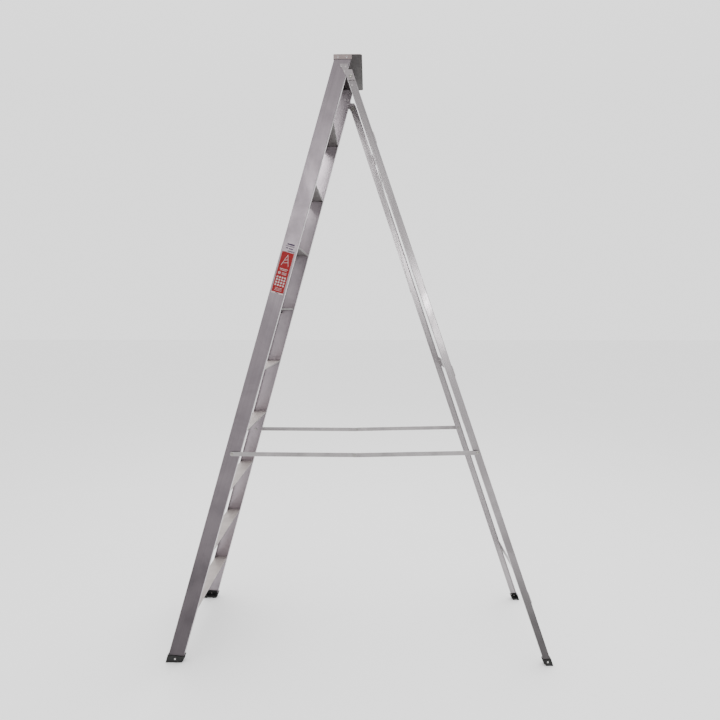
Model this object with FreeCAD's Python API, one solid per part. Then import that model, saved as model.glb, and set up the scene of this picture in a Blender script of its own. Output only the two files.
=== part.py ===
"""Single-sided folding stepladder in aluminium: nine treads and a top cap on the front frame, a
riveted rear frame, two folding stays and four rubber shoes.

Frame: +Z up, origin on the floor under the middle of the ladder, X across, the climbing side at -Y.
The ladder stands open, which is the rest pose. Sizes are in millimetres, angles in degrees.
"""
import FreeCAD, Part
import math
import os

from FreeCAD import Placement, Rotation, Vector

os.makedirs("parts", exist_ok=True)

# Driving dimensions
TREAD_PITCH = 300.0          # from tread to tread, along the stile
TREAD_COUNT = 9              # the top cap is the tenth step
CAP_TOP = 2841.0             # height of the top cap
STILE_LEAN = 15.95           # front frame, from the vertical
LEG_LEAN = 18.93             # rear frame, from the vertical
PIVOT_Y = -38.23             # puts the four shoes evenly about the origin
PIVOT_HEIGHT = 2743.0
HALF_WIDTH_AT_FLOOR = 337.0
TAPER = 0.0408               # half width lost per millimetre of height

STILE_DEPTH = 72.0
STILE_FLANGE = 28.0
STILE_WALL = 2.5
LEG_DEPTH = 32.0
LEG_FLANGE = 24.0
LEG_WALL = 2.0
FOLD_GAP = 5.5               # left between the two frames when the ladder is closed
LEG_INSET = 1.6              # the leg webs stand this far inside the stile webs
CORNER_RADIUS = 2.0

TREAD_SKIN = 2.5
TREAD_LIP = 28.0             # front lip
TREAD_REAR_LIP = 7.0
TREAD_HEM = 7.0              # turned in at the foot of the front lip
TREAD_FIT = 0.2
TREAD_RIVET_DROP = 13.0      # below the standing surface
RIB_COUNT = 7
RIB_DEPTH = 1.4

CAP_SKIN = 3.0
CAP_LIP = 22.0
CAP_WALL = 2.5
CAP_OVERHANG_Y = PIVOT_Y + 53.0  # rear edge of the cap
CAP_RIB_COUNT = 12
CAP_RIB_MARGIN = 12.0        # plain border at the ribs' ends
CAP_REAR_CORNER = 12.0
CAP_FRONT_CORNER = 5.0
CAP_RIM_RADIUS = 1.5
CAP_RIVET_OFFSETS = (-22.0, 18.0)

BRACKET_WALL = 3.0
BRACKET_LOW = 2725.5         # level lower edge of the hinge brackets
BRACKET_SHOULDER = 2772.0    # level edge behind the stile
BRACKET_HIGH = 2798.0        # upper edge, on the stile's web
BRACKET_REACH = 40.0         # length of the upper edge
BRACKET_RIVETS = ((43.0, 13.0), (45.0, 33.0), (21.0, 11.0))  # above the bolt, in front of the stile's rear
BOLT_RADIUS = 5.0
BOLT_HEAD_RADIUS = 8.5
BOLT_HEAD_HEIGHT = 4.0
NUT_RADIUS = 9.0
NUT_HEIGHT = 8.0
LEG_RIVET_HEIGHT = 2705.0    # a rivet in each leg's web, just under its bracket
RUNNING_CLEARANCE = 0.05

STAY_FRONT_HEIGHT = 1005.0   # height of the stays' pivots on the stiles
STAY_REAR_HEIGHT = 1016.0    # on the legs: both lie equally far down from the hinge bolts
STAY_SAG = 8.0               # the middle pivot locks this far below the straight line
STAY_BAR_WIDTH = 20.0
STAY_BAR_WALL = 3.0
STAY_STANDOFF = 2.5
STAY_LAP_GAP = 0.5
STAY_PIN_RADIUS = 4.0
STAY_PIN_PLAY = 0.3          # along the pin, on each side of the bar
STAY_HEAD_RADIUS = 7.5
STAY_TAIL_RADIUS = 6.0
STAY_MIDDLE_RADIUS = 3.0
STAY_MIDDLE_HEAD = 6.5

REAR_BAR_HEIGHTS = {"rear_bar_bottom": 315.0, "rear_bar_middle": 1390.0, "rear_bar_top": 2465.0}
REAR_BAR_DEPTH = 50.0
REAR_BAR_WALL = 3.0
STRAP_UPPER_HEIGHT = 2315.0  # on the right leg
STRAP_LOWER_HEIGHT = 1788.0  # on the left leg
STRAP_WIDTH = 20.0
STRAP_WALL = 2.0

SHOE_SOLE = 8.0
SHOE_WALL = 4.0
SHOE_TOP_TILT = 5.0          # the shoes' top edges rise this much towards their toes
FRONT_SHOE_HEIGHT = 33.0
REAR_SHOE_HEIGHT = 29.0      # low enough to pass under the front shoe when the ladder is closed
SHOE_HEEL_CHAMFER = 8.0
SHOE_RIVET_HEIGHT = 18.0
SOLE_RECESS = 5.0

RIVET_SHANK = 2.4
RIVET_TAIL = 3.6
RIVET_TAIL_HEIGHT = 1.2
RIVET_PIT = 1.1

LABEL_WIDTH = 59.0
LABEL_LENGTH = 200.0
LABEL_SKIN = 0.4
LABEL_HEIGHT = 1850.0

# Values that follow from them
STILE_SLOPE = math.tan(math.radians(STILE_LEAN))
LEG_SLOPE = -math.tan(math.radians(LEG_LEAN))
STILE_COS = math.cos(math.radians(STILE_LEAN))
LEG_COS = math.cos(math.radians(LEG_LEAN))
TAPER_ANGLE = math.degrees(math.atan(TAPER))
X_AXIS = Vector(1, 0, 0)
Y_AXIS = Vector(0, 1, 0)
WEB_NORMAL = Vector(1, 0, TAPER).normalize()
STILE_REAR_NORMAL = Vector(0, STILE_COS, -math.sin(math.radians(STILE_LEAN)))
LEG_REAR_NORMAL = Vector(0, LEG_COS, math.sin(math.radians(LEG_LEAN)))


def half_width(z):
    """Distance from the middle of the ladder to the outer face of a stile at height z."""
    return HALF_WIDTH_AT_FLOOR - TAPER * z


def stile_rear(z):
    """Y of the stiles' rear face at height z."""
    offset = (FOLD_GAP + LEG_DEPTH / 2) / STILE_COS
    return PIVOT_Y - offset - (PIVOT_HEIGHT - z) * STILE_SLOPE


def stile_middle(z):
    """Y of the middle of the stiles' web at height z."""
    return stile_rear(z) - STILE_DEPTH / 2 / STILE_COS


def leg_middle(z):
    """Y of the middle of the rear legs' web at height z."""
    return PIVOT_Y - (PIVOT_HEIGHT - z) * LEG_SLOPE


def save(node, shape):
    """Write one named sub-part."""
    shape.exportStep("parts/" + node + ".step")
    box = shape.BoundBox
    facts = (node, len(shape.Solids), shape.isValid(), box.ZMin, box.ZMax)
    print("%-24s solids %2d valid %s  z %.1f..%.1f" % facts)


def mirrored(shape):
    """The same shape on the other side of the ladder."""
    return shape.mirror(Vector(0, 0, 0), X_AXIS)


def both_sides(solids):
    """A group of the given solids and their mirror images."""
    return Part.makeCompound(list(solids) + [mirrored(solid) for solid in solids])


def outline_face(points):
    """A flat face from its corner points."""
    return Part.Face(Part.makePolygon(list(points) + [points[0]]))


def leaning_prism(outline, low, high, slope):
    """A level outline at height low, carried up to height high along a frame's lean and taper."""
    rise = high - low
    face = outline_face([Vector(x, y, low) for x, y in outline])
    return face.extrude(Vector(-TAPER * rise, slope * rise, rise))


def rounded_along(shape, points, low, radius):
    """Round the long edges that start at the given points of the level face at height low."""
    edges = []
    for edge in shape.Edges:
        start = min(edge.Vertexes, key=lambda vertex: vertex.Z).Point
        if edge.Length > 50 and any(start.distanceToPoint(Vector(x, y, low)) < 0.01 for x, y in points):
            edges.append(edge)
    return shape.makeFillet(radius, edges)


def channel(outer_x, rear_y, depth, flange, wall, cos_lean, low, high, slope):
    """A C-shaped extrusion, open towards the middle of the ladder, on the right side."""
    level_depth = depth / cos_lean
    level_wall = wall / cos_lean
    front_y = rear_y - level_depth
    outline = [
        (outer_x, rear_y),
        (outer_x, front_y),
        (outer_x - flange, front_y),
        (outer_x - flange, front_y + level_wall),
        (outer_x - wall, front_y + level_wall),
        (outer_x - wall, rear_y - level_wall),
        (outer_x - flange, rear_y - level_wall),
        (outer_x - flange, rear_y),
    ]
    shape = leaning_prism(outline, low, high, slope)
    return rounded_along(shape, outline[:2], low, CORNER_RADIUS)


def turned(profile, position, direction):
    """Revolve an r, z profile about its axis and stand it at a position along a direction."""
    edges = []
    for start, end in zip(profile, profile[1:] + profile[:1]):
        edges.append(Part.LineSegment(Vector(start[0], 0, start[1]), Vector(end[0], 0, end[1])).toShape())
    solid = Part.Face(Part.Wire(edges)).revolve(Vector(0, 0, 0), Vector(0, 0, 1), 360)
    solid.Placement = Placement(position, Rotation(Vector(0, 0, 1), direction))
    return solid


def dome(radius, height, steps=4):
    """Points of a low dome from its rim to its crown, in r and z."""
    points = []
    for step in range(steps + 1):
        angle = math.pi / 2 * step / steps
        points.append((radius * math.cos(angle), height * math.sin(angle)))
    points[-1] = (0.0, height)
    return points


def rivet(position, direction, grip, head=5.2, head_height=1.6):
    """A blind rivet: the domed head, with the pit its mandrel leaves, sits at position."""
    end = -grip - RIVET_TAIL_HEIGHT
    profile = [(0.0, end), (RIVET_TAIL, end), (RIVET_TAIL, -grip), (RIVET_SHANK, -grip), (RIVET_SHANK, 0.0)]
    profile += [(radius, height) for radius, height in dome(head, head_height) if radius > RIVET_PIT]
    profile += [(RIVET_PIT, head_height), (RIVET_PIT, head_height - 0.7), (0.0, head_height - 0.7)]
    return turned(profile, position, direction)


def shank_hole(position, direction, grip):
    """The hole that a rivet's shank fills."""
    return Part.makeCylinder(RIVET_SHANK, grip + 4, position + direction * 2, direction * -1)


def on_web(shape, y, z, inset=0.0):
    """Stand a shape made about the origin, facing +X, on the right web plane at y and z."""
    tilt = Placement(Vector(half_width(z) - inset, y, z), Rotation(Y_AXIS, -TAPER_ANGLE))
    shape.Placement = tilt.multiply(shape.Placement)
    return shape


def web_point(y, z, offset=0.0):
    """A point on the right stile's web plane, moved out by the offset."""
    return Vector(half_width(z), y, z) + WEB_NORMAL * offset


def tread_height(number):
    """Height of a tread's standing surface, counted from the lowest tread."""
    return CAP_TOP - (TREAD_COUNT + 1 - number) * TREAD_PITCH * STILE_COS


def ribbed_line(start, end, top, count, depth):
    """Corner points of a ribbed standing surface from y start to y end."""
    points = [(start, top)]
    pitch = (end - start) / (2 * count + 1)
    for rib in range(count):
        groove_start = start + pitch * (2 * rib + 1)
        points.append((groove_start, top))
        points.append((groove_start, top - depth))
        points.append((groove_start + pitch, top - depth))
        points.append((groove_start + pitch, top))
    points.append((end, top))
    return points


def tread(number):
    """One ribbed tread: a level top, a hemmed front lip that follows the stiles and a low rear lip."""
    top = tread_height(number)
    level_wall = STILE_WALL / STILE_COS
    rear = stile_rear(top) - level_wall - TREAD_FIT
    front = stile_rear(top) - STILE_DEPTH / STILE_COS + level_wall + TREAD_FIT
    low = top - TREAD_LIP
    skin = TREAD_SKIN / STILE_COS
    inner_top = top - TREAD_SKIN - RIB_DEPTH
    front_drop = TREAD_LIP * STILE_SLOPE
    hem_drop = (TREAD_LIP - TREAD_SKIN) * STILE_SLOPE
    inner_drop = (top - inner_top) * STILE_SLOPE
    rear_drop = TREAD_REAR_LIP * STILE_SLOPE
    points = ribbed_line(front, rear, top, RIB_COUNT, RIB_DEPTH)
    points += [
        (rear - rear_drop, top - TREAD_REAR_LIP),
        (rear - rear_drop - skin, top - TREAD_REAR_LIP),
        (rear - inner_drop - skin, inner_top),
        (front - inner_drop + skin, inner_top),
        (front - hem_drop + skin, low + TREAD_SKIN),
        (front - front_drop + TREAD_HEM, low + TREAD_SKIN),
        (front - front_drop + TREAD_HEM, low),
        (front - front_drop, low),
    ]
    reach = half_width(top) - STILE_WALL - TREAD_FIT
    face = outline_face([Vector(-reach, y, z) for y, z in points])
    return face.extrude(Vector(2 * reach, 0, 0))


def tread_rivet_places():
    """Where the treads' front lips are riveted to the right stile's front flange: position and direction."""
    places = []
    for number in range(1, TREAD_COUNT + 1):
        z = tread_height(number) - TREAD_RIVET_DROP
        x = half_width(z) - STILE_FLANGE / 2
        places.append((Vector(x, stile_rear(z) - STILE_DEPTH / STILE_COS, z), STILE_REAR_NORMAL * -1))
    return places


def top_cap():
    """The pressed cap: lips at the front and sides, ribs on top and a rear edge that overhangs."""
    outer = half_width(CAP_TOP - CAP_LIP) + TREAD_FIT + CAP_WALL
    front = stile_rear(CAP_TOP - CAP_LIP) - STILE_DEPTH / STILE_COS - TREAD_FIT - CAP_WALL
    lip_end = stile_rear(CAP_TOP)
    depth = lip_end - front
    plate_corner = Vector(-outer, front, CAP_TOP - CAP_SKIN)
    plate = Part.makeBox(2 * outer, CAP_OVERHANG_Y - front, CAP_SKIN, plate_corner)
    tray = Part.makeBox(2 * outer, depth, CAP_LIP, Vector(-outer, front, CAP_TOP - CAP_LIP))
    room_corner = Vector(CAP_WALL - outer, front + CAP_WALL, CAP_TOP - CAP_LIP - CAP_SKIN)
    room = Part.makeBox(2 * (outer - CAP_WALL), depth, CAP_LIP, room_corner)
    cap = plate.fuse(tray.cut(room)).removeSplitter()
    for corner_y, radius in ((CAP_OVERHANG_Y, CAP_REAR_CORNER), (front, CAP_FRONT_CORNER)):
        edges = []
        for edge in cap.Edges:
            middle = edge.CenterOfMass
            upright = abs(edge.Vertexes[0].Z - edge.Vertexes[-1].Z) > 1
            if upright and abs(middle.x) > outer - 0.1 and abs(middle.y - corner_y) < 0.1:
                edges.append(edge)
        cap = cap.makeFillet(radius, edges)
    rim = [edge for edge in cap.Edges if edge.BoundBox.ZMin > CAP_TOP - 0.01]
    cap = cap.makeFillet(CAP_RIM_RADIUS, rim)
    pitch = (CAP_OVERHANG_Y - front) / (CAP_RIB_COUNT + 1)
    grooves = []
    for rib in range(1, CAP_RIB_COUNT + 1):
        corner = Vector(CAP_RIB_MARGIN - outer, front + pitch * rib - pitch / 4, CAP_TOP - RIB_DEPTH)
        grooves.append(Part.makeBox(2 * (outer - CAP_RIB_MARGIN), pitch / 2, 5, corner))
    return cap.cut(Part.makeCompound(grooves))


def hinge_bracket():
    """The plate outside the right stile that carries the hinge bolt and covers the leg's end."""
    half_leg = LEG_DEPTH / 2 / LEG_COS
    outline = [
        (leg_middle(BRACKET_LOW) - half_leg, BRACKET_LOW),
        (leg_middle(BRACKET_LOW) + half_leg, BRACKET_LOW),
        (leg_middle(BRACKET_SHOULDER) + half_leg, BRACKET_SHOULDER),
        (stile_rear(BRACKET_SHOULDER) + 2, BRACKET_SHOULDER),
        (stile_rear(BRACKET_HIGH) - 4, BRACKET_HIGH),
        (stile_rear(BRACKET_HIGH) - 4 - BRACKET_REACH, BRACKET_HIGH),
    ]
    face = outline_face([Vector(0, y - PIVOT_Y, z - PIVOT_HEIGHT) for y, z in outline])
    plate = face.extrude(Vector(BRACKET_WALL, 0, 0))
    short = [edge for edge in plate.Edges if abs(edge.Length - BRACKET_WALL) < 0.01]
    return on_web(plate.makeFillet(2.5, short), PIVOT_Y, PIVOT_HEIGHT)


def bracket_rivet_places():
    """Rivets that hold the hinge bracket to the right stile's web: y and z."""
    return [(stile_rear(PIVOT_HEIGHT + rise) - back, PIVOT_HEIGHT + rise) for rise, back in BRACKET_RIVETS]


def rear_leg():
    """The right rear leg: a channel with its top rounded about the hinge."""
    outer = half_width(SHOE_SOLE) - LEG_INSET
    rear = leg_middle(SHOE_SOLE) + LEG_DEPTH / 2 / LEG_COS
    shape = channel(
        outer, rear, LEG_DEPTH, LEG_FLANGE, LEG_WALL, LEG_COS, SHOE_SOLE, PIVOT_HEIGHT + 40, LEG_SLOPE
    )
    low_block = Part.makeBox(800, 200, 3200, Vector(-400, -100, -3200))
    low_block.Placement = Placement(
        Vector(0, PIVOT_Y, PIVOT_HEIGHT), Rotation(X_AXIS, LEG_LEAN)
    ).multiply(low_block.Placement)
    knuckle = Part.makeCylinder(LEG_DEPTH / 2, 800, Vector(-400, PIVOT_Y, PIVOT_HEIGHT), X_AXIS)
    return shape.common(low_block.fuse(knuckle))


def stadium(start, end, width, low_x):
    """A flat stay bar with round ends between two y, z points, from low_x outwards."""
    direction = Vector(0, end[0] - start[0], end[1] - start[1])
    length = direction.Length
    angle = math.degrees(math.atan2(direction.z, direction.y))
    bar = Part.makeBox(STAY_BAR_WALL, length, width, Vector(0, 0, -width / 2))
    ends = [Part.makeCylinder(width / 2, STAY_BAR_WALL, Vector(0, y, 0), X_AXIS) for y in (0, length)]
    shape = bar.fuse(ends).removeSplitter()
    shape.Placement = Placement(Vector(low_x, start[0], start[1]), Rotation(X_AXIS, angle))
    return shape


def cross_hole(radius, y, z):
    """A hole along X at y and z, on the right side only."""
    return Part.makeCylinder(radius, 400, Vector(50, y, z), X_AXIS)


def stay_pin(seat_x, bar_x, y, z):
    """A stay's outer pivot: tail inside the web, spacer up to the bar, shank and domed head."""
    seat = seat_x - bar_x
    head_seat = STAY_BAR_WALL + STAY_PIN_PLAY
    profile = [
        (0.0, seat - 7),
        (STAY_TAIL_RADIUS, seat - 7),
        (STAY_TAIL_RADIUS, seat - 4),
        (STAY_PIN_RADIUS, seat - 4),
        (STAY_PIN_RADIUS, seat - 0.5),
        (STAY_HEAD_RADIUS, seat - 0.5),
        (STAY_HEAD_RADIUS, -STAY_PIN_PLAY),
        (STAY_PIN_RADIUS, -STAY_PIN_PLAY),
        (STAY_PIN_RADIUS, head_seat),
    ]
    head = [(radius, height + head_seat) for radius, height in dome(STAY_HEAD_RADIUS, 2.4)]
    return turned(profile + head, Vector(bar_x, y, z), X_AXIS)


def on_rear_frame(shape):
    """Place a shape made with x across, y to the rear and z up the legs, from the hinge line."""
    frame = Placement(Vector(0, PIVOT_Y, PIVOT_HEIGHT), Rotation(X_AXIS, LEG_LEAN))
    shape.Placement = frame.multiply(shape.Placement)
    return shape


def down_leg(z):
    """Distance down the rear frame from the hinge line for a height z."""
    return (z - PIVOT_HEIGHT) / LEG_COS


def rear_bar(z):
    """A flat cross bar on the legs' rear faces."""
    reach = half_width(z) - LEG_INSET - 3
    corner = Vector(-reach, LEG_DEPTH / 2, down_leg(z) - REAR_BAR_DEPTH / 2)
    return on_rear_frame(Part.makeBox(2 * reach, REAR_BAR_WALL, REAR_BAR_DEPTH, corner))


def rear_rivet_places():
    """Rivets of the cross bars on the right leg's rear face: position and direction."""
    places = []
    for z in REAR_BAR_HEIGHTS.values():
        for rise in (-11.0, 11.0):
            level = z + rise
            x = half_width(level) - LEG_INSET - LEG_FLANGE / 2
            rear_y = leg_middle(level) + LEG_DEPTH / 2 / LEG_COS
            places.append((Vector(x, rear_y, level) + LEG_REAR_NORMAL * REAR_BAR_WALL, LEG_REAR_NORMAL))
    return places


def strap_end(z, side):
    """x of the strap's end on a leg, and its distance from the hinge line."""
    return side * (half_width(z) - LEG_INSET - LEG_FLANGE / 2), down_leg(z)


def diagonal_strap():
    """The flat strap across the front faces of the rear legs."""
    high_x, high_s = strap_end(STRAP_UPPER_HEIGHT, 1)
    low_x, low_s = strap_end(STRAP_LOWER_HEIGHT, -1)
    run = Vector(high_x - low_x, 0, high_s - low_s)
    angle = math.degrees(math.atan2(run.z, run.x))
    bar = Part.makeBox(run.Length, STRAP_WALL, STRAP_WIDTH, Vector(0, 0, -STRAP_WIDTH / 2))
    ends = [Part.makeCylinder(STRAP_WIDTH / 2, STRAP_WALL, Vector(x, 0, 0), Y_AXIS) for x in (0, run.Length)]
    strap = bar.fuse(ends).removeSplitter()
    strap.Placement = Placement(Vector(low_x, -LEG_DEPTH / 2 - STRAP_WALL, low_s), Rotation(Y_AXIS, -angle))
    return on_rear_frame(strap)


def strap_rivet_places():
    """The strap's two rivets on the front faces of the legs."""
    places = []
    for z, side in ((STRAP_UPPER_HEIGHT, 1), (STRAP_LOWER_HEIGHT, -1)):
        x, s = strap_end(z, side)
        marker = on_rear_frame(Part.Vertex(x, -LEG_DEPTH / 2 - STRAP_WALL, s))
        places.append((marker.Point, LEG_REAR_NORMAL * -1))
    return places


def shoe(outer_x, middle_y, member, slope, height):
    """A rubber shoe on a member's lower end, open on the inner side, before the member is cut out.

    The member is its level depth, its flange and its wall.
    """
    level_depth, flange, wall = member
    toe = -1 if slope > 0 else 1
    front = middle_y - level_depth / 2 - SHOE_WALL
    rear = middle_y + level_depth / 2 + SHOE_WALL
    right = outer_x + SHOE_WALL
    left = outer_x - flange - SHOE_WALL
    corners = [(right, front), (right, rear), (left, rear), (left, front)]
    body = rounded_along(leaning_prism(corners, 0, 2 * height, slope), corners, 0, 3.0)
    keep = Part.makeBox(200, 400, 400, Vector(-100, -200, -400))
    keep.Placement = Placement(
        Vector(outer_x, middle_y + slope * height, height), Rotation(X_AXIS, SHOE_TOP_TILT * toe)
    ).multiply(keep.Placement)
    body = body.common(keep)

    # The room inside the channel: a tongue stays along the web
    floor = SHOE_SOLE + SHOE_WALL
    near = outer_x - wall - SHOE_WALL - TAPER * floor
    middle = middle_y + slope * floor
    reach = level_depth / 2 - wall
    far = left - 10
    room = [(near, middle - reach), (near, middle + reach), (far, middle + reach), (far, middle - reach)]
    body = body.cut(leaning_prism(room, floor, 3 * height, slope))

    heel = rear if toe < 0 else front
    chamfer = outline_face([
        Vector(-500, heel - toe * 20, -1),
        Vector(-500, heel + toe * SHOE_HEEL_CHAMFER, -1),
        Vector(-500, heel - toe * 20, SHOE_HEEL_CHAMFER + 19),
    ]).extrude(Vector(1000, 0, 0))
    recess_width = (rear - front) * 0.4
    recess = Part.makeBox(
        200, recess_width, SOLE_RECESS, Vector(outer_x - 202, middle_y - recess_width / 2, 0)
    )
    return body.cut(chamfer).cut(recess)


def label():
    """The thin sticker on the right stile's web."""
    plate = Part.makeBox(
        LABEL_SKIN, LABEL_WIDTH, LABEL_LENGTH, Vector(0, -LABEL_WIDTH / 2, -LABEL_LENGTH / 2)
    )
    plate.Placement = Placement(Vector(0, 0, 0), Rotation(X_AXIS, -STILE_LEAN))
    return on_web(plate, stile_middle(LABEL_HEIGHT), LABEL_HEIGHT)


def cut_all(shape, cutters):
    """Cut a list of solids out of a shape."""
    return shape.cut(Part.makeCompound(cutters))


def build():
    """Make every sub-part and write it."""
    flange_grip = STILE_WALL + TREAD_FIT + TREAD_SKIN
    tread_places = tread_rivet_places()
    tread_holes = [shank_hole(position, direction, flange_grip) for position, direction in tread_places]

    front_y = stile_middle(STAY_FRONT_HEIGHT)
    rear_y = leg_middle(STAY_REAR_HEIGHT)
    stay_web = half_width(STAY_FRONT_HEIGHT)
    inner_bar_x = stay_web + STAY_STANDOFF
    outer_bar_x = inner_bar_x + STAY_BAR_WALL + STAY_LAP_GAP
    middle_y = (front_y + rear_y) / 2
    middle_z = (STAY_FRONT_HEIGHT + STAY_REAR_HEIGHT) / 2 - STAY_SAG

    # Front frame
    stile_low = SHOE_SOLE
    stile = channel(
        half_width(stile_low), stile_rear(stile_low), STILE_DEPTH, STILE_FLANGE, STILE_WALL, STILE_COS,
        stile_low, CAP_TOP - CAP_SKIN, STILE_SLOPE,
    )
    bracket = hinge_bracket()
    bracket_grip = BRACKET_WALL + STILE_WALL
    bracket_points = [web_point(y, z, BRACKET_WALL) for y, z in bracket_rivet_places()]
    bracket_holes = [shank_hole(point, WEB_NORMAL, bracket_grip) for point in bracket_points]
    front_shoe_point = web_point(stile_middle(SHOE_RIVET_HEIGHT), SHOE_RIVET_HEIGHT, SHOE_WALL)
    front_shoe_grip = 2 * SHOE_WALL + STILE_WALL
    front_shoe_hole = shank_hole(front_shoe_point, WEB_NORMAL, front_shoe_grip)
    cap_outer = half_width(CAP_TOP - CAP_LIP) + TREAD_FIT + CAP_WALL
    cap_rivet_z = CAP_TOP - CAP_LIP * 0.6
    cap_y = stile_middle(cap_rivet_z)
    cap_points = [Vector(cap_outer, cap_y + offset, cap_rivet_z) for offset in CAP_RIVET_OFFSETS]
    cap_grip = CAP_WALL + STILE_WALL + 1.2
    cap_holes = [shank_hole(point, X_AXIS, cap_grip) for point in cap_points]

    stile_plain = cut_all(stile, tread_holes + bracket_holes + cap_holes)
    stile_plain = cut_all(stile_plain, [cross_hole(STAY_PIN_RADIUS, front_y, STAY_FRONT_HEIGHT)])
    stile_size = (STILE_DEPTH / STILE_COS, STILE_FLANGE, STILE_WALL)
    shoe_block = shoe(half_width(0), stile_middle(0), stile_size, STILE_SLOPE, FRONT_SHOE_HEIGHT)
    front_shoe = shoe_block.cut(stile).cut(front_shoe_hole)
    stile_right = stile_plain.cut(front_shoe_hole)
    save("stile_right", stile_right)
    save("stile_left", mirrored(stile_right))
    save("front_shoe_right", front_shoe)
    save("front_shoe_left", mirrored(front_shoe))

    all_tread_holes = tread_holes + [mirrored(hole) for hole in tread_holes]
    for number in range(1, TREAD_COUNT + 1):
        save("tread_%d" % number, cut_all(tread(number), all_tread_holes))
    rivets = [rivet(position, direction, flange_grip) for position, direction in tread_places]
    save("tread_rivets", both_sides(rivets))

    cap = cut_all(top_cap(), cap_holes + [mirrored(hole) for hole in cap_holes])
    save("top_cap", cap)
    save("cap_rivets", both_sides([rivet(point, X_AXIS, cap_grip) for point in cap_points]))

    bracket = cut_all(bracket, bracket_holes + [cross_hole(BOLT_RADIUS, PIVOT_Y, PIVOT_HEIGHT)])
    save("hinge_bracket_right", bracket)
    save("hinge_bracket_left", mirrored(bracket))
    save("bracket_rivets", both_sides([rivet(point, WEB_NORMAL, bracket_grip) for point in bracket_points]))
    front_shoe_rivet = rivet(front_shoe_point, WEB_NORMAL, front_shoe_grip, head=4.6)
    save("front_shoe_rivets", both_sides([front_shoe_rivet]))
    save("label", label())

    # Hinge bolts, washers and nuts ride with the brackets, the bushes with the legs
    hinge_x = half_width(PIVOT_HEIGHT)
    bolt_seat = hinge_x + BRACKET_WALL + 0.4
    web_inside = hinge_x - LEG_INSET - LEG_WALL
    bolt_end = web_inside - 13 - bolt_seat
    bolt_profile = [(0.0, bolt_end), (BOLT_RADIUS, bolt_end), (BOLT_RADIUS, 0.0)]
    bolt_profile += dome(BOLT_HEAD_RADIUS, BOLT_HEAD_HEIGHT)
    pivot = Vector(bolt_seat, PIVOT_Y, PIVOT_HEIGHT)
    save("hinge_bolts", both_sides([turned(bolt_profile, pivot, X_AXIS)]))
    washer_seat = web_inside - 1.6
    washer = Part.makeCylinder(10, 1.5, Vector(washer_seat, PIVOT_Y, PIVOT_HEIGHT), X_AXIS * -1)
    bore = cross_hole(BOLT_RADIUS, PIVOT_Y, PIVOT_HEIGHT)
    save("hinge_washers", both_sides([washer.cut(bore)]))
    nut_centre = Vector(washer_seat - 1.5, PIVOT_Y, PIVOT_HEIGHT)
    corners = []
    for corner in range(6):
        angle = math.radians(60 * corner)
        corners.append(nut_centre + Vector(0, math.cos(angle), math.sin(angle)) * NUT_RADIUS)
    nut = outline_face(corners).extrude(Vector(-NUT_HEIGHT, 0, 0)).cut(bore)
    save("hinge_nuts", both_sides([nut]))
    sleeve = Part.makeCylinder(7, LEG_WALL + 0.8, Vector(-LEG_WALL - 0.8, 0, 0), X_AXIS)
    flange = Part.makeCylinder(11, 1.0, Vector(0, 0, 0), X_AXIS)
    bush_outer = on_web(sleeve.fuse(flange), PIVOT_Y, PIVOT_HEIGHT, LEG_INSET)
    running_bore = cross_hole(BOLT_RADIUS + RUNNING_CLEARANCE, PIVOT_Y, PIVOT_HEIGHT)
    save("hinge_bushes", both_sides([bush_outer.cut(running_bore)]))

    # Rear frame
    leg = rear_leg()
    rear_places = rear_rivet_places()
    rear_grip = REAR_BAR_WALL + LEG_WALL
    rear_holes = [shank_hole(position, direction, rear_grip) for position, direction in rear_places]
    strap_places = strap_rivet_places()
    strap_grip = STRAP_WALL + LEG_WALL
    strap_holes = [shank_hole(position, direction, strap_grip) for position, direction in strap_places]
    rear_shoe_y = leg_middle(SHOE_RIVET_HEIGHT)
    rear_shoe_point = web_point(rear_shoe_y, SHOE_RIVET_HEIGHT, SHOE_WALL - LEG_INSET)
    rear_shoe_grip = 2 * SHOE_WALL + LEG_WALL
    rear_shoe_hole = shank_hole(rear_shoe_point, WEB_NORMAL, rear_shoe_grip)
    leg_rivet_point = web_point(leg_middle(LEG_RIVET_HEIGHT) - 5, LEG_RIVET_HEIGHT, -LEG_INSET)
    leg_rivet_hole = shank_hole(leg_rivet_point, WEB_NORMAL, LEG_WALL)
    leg_size = (LEG_DEPTH / LEG_COS, LEG_FLANGE, LEG_WALL)
    shoe_block = shoe(half_width(0) - LEG_INSET, leg_middle(0), leg_size, LEG_SLOPE, REAR_SHOE_HEIGHT)
    rear_shoe = shoe_block.cut(leg).cut(rear_shoe_hole)
    stay_hole = cross_hole(STAY_PIN_RADIUS, rear_y, STAY_REAR_HEIGHT)
    leg = cut_all(leg, rear_holes + [rear_shoe_hole, leg_rivet_hole, stay_hole])
    leg = leg.cut(bush_outer)
    save("rear_leg_right", leg.cut(strap_holes[0]))
    save("rear_leg_left", mirrored(leg).cut(strap_holes[1]))
    save("rear_shoe_right", rear_shoe)
    save("rear_shoe_left", mirrored(rear_shoe))
    rear_shoe_rivet = rivet(rear_shoe_point, WEB_NORMAL, rear_shoe_grip, head=4.6)
    save("rear_shoe_rivets", both_sides([rear_shoe_rivet]))
    save("leg_top_rivets", both_sides([rivet(leg_rivet_point, WEB_NORMAL, LEG_WALL, head=4.6)]))
    all_rear_holes = rear_holes + [mirrored(hole) for hole in rear_holes]
    for node, z in REAR_BAR_HEIGHTS.items():
        save(node, cut_all(rear_bar(z), all_rear_holes))
    bar_rivets = [rivet(position, direction, rear_grip) for position, direction in rear_places]
    save("rear_bar_rivets", both_sides(bar_rivets))
    save("diagonal_strap", cut_all(diagonal_strap(), strap_holes))
    strap_rivets = [rivet(position, direction, strap_grip) for position, direction in strap_places]
    save("strap_rivets", Part.makeCompound(strap_rivets))

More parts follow.
